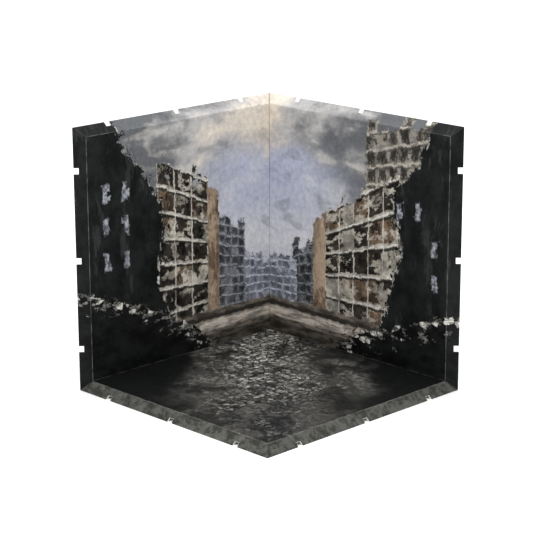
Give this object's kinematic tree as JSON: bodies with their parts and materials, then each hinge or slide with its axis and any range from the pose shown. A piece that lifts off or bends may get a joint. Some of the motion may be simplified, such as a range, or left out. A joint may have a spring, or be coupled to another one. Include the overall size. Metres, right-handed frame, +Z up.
{
  "type": "corner diorama backdrop",
  "caption": "Corner display backdrop for tabletop figures: square printed panels with folded, notched rims, clipped together at right angles.",
  "frame": {"origin": "centre of the footprint, on the surface the backdrop stands on", "axes": "+Z up; the left wall faces +X, the back wall faces -Y and the floor faces +Z, so the display space opens towards +X, -Y and up"},
  "size_m": [0.1552, 0.1552, 0.1552],
  "materials": {
    "printed_sheet": "white-cored styrene sheet with a satin printed picture of a ruined city on its front",
    "tray": "black moulded styrene, finely textured",
    "clip": "black moulded plastic, slightly glossier than the trays"
  },
  "bodies": {
    "panels": {"left_wall_sheet": "printed_sheet", "back_wall_sheet": "printed_sheet", "floor_sheet": "printed_sheet", "left_wall_tray": "tray", "back_wall_tray": "tray", "floor_tray": "tray"},
    "corner_clip_low": {"corner_clip_low": "clip"},
    "corner_clip_middle": {"corner_clip_middle": "clip"},
    "corner_clip_high": {"corner_clip_high": "clip"},
    "left_floor_clip_rear": {"left_floor_clip_rear": "clip"},
    "left_floor_clip_middle": {"left_floor_clip_middle": "clip"},
    "left_floor_clip_front": {"left_floor_clip_front": "clip"},
    "back_floor_clip_left": {"back_floor_clip_left": "clip"},
    "back_floor_clip_middle": {"back_floor_clip_middle": "clip"},
    "back_floor_clip_right": {"back_floor_clip_right": "clip"}
  },
  "joints": [
    {"name": "corner_clip_low_slide", "type": "slide", "parent": "panels", "child": "corner_clip_low", "axis": [-0.7071, 0.7071, 0], "range_m": [0, 0.009]},
    {"name": "corner_clip_middle_slide", "type": "slide", "parent": "panels", "child": "corner_clip_middle", "axis": [-0.7071, 0.7071, 0], "range_m": [0, 0.009]},
    {"name": "corner_clip_high_slide", "type": "slide", "parent": "panels", "child": "corner_clip_high", "axis": [-0.7071, 0.7071, 0], "range_m": [0, 0.009]},
    {"name": "left_floor_clip_rear_slide", "type": "slide", "parent": "panels", "child": "left_floor_clip_rear", "axis": [-0.7071, 0, -0.7071], "range_m": [0, 0.009]},
    {"name": "left_floor_clip_middle_slide", "type": "slide", "parent": "panels", "child": "left_floor_clip_middle", "axis": [-0.7071, 0, -0.7071], "range_m": [0, 0.009]},
    {"name": "left_floor_clip_front_slide", "type": "slide", "parent": "panels", "child": "left_floor_clip_front", "axis": [-0.7071, 0, -0.7071], "range_m": [0, 0.009]},
    {"name": "back_floor_clip_left_slide", "type": "slide", "parent": "panels", "child": "back_floor_clip_left", "axis": [0, 0.7071, -0.7071], "range_m": [0, 0.009]},
    {"name": "back_floor_clip_middle_slide", "type": "slide", "parent": "panels", "child": "back_floor_clip_middle", "axis": [0, 0.7071, -0.7071], "range_m": [0, 0.009]},
    {"name": "back_floor_clip_right_slide", "type": "slide", "parent": "panels", "child": "back_floor_clip_right", "axis": [0, 0.7071, -0.7071], "range_m": [0, 0.009]}
  ]
}
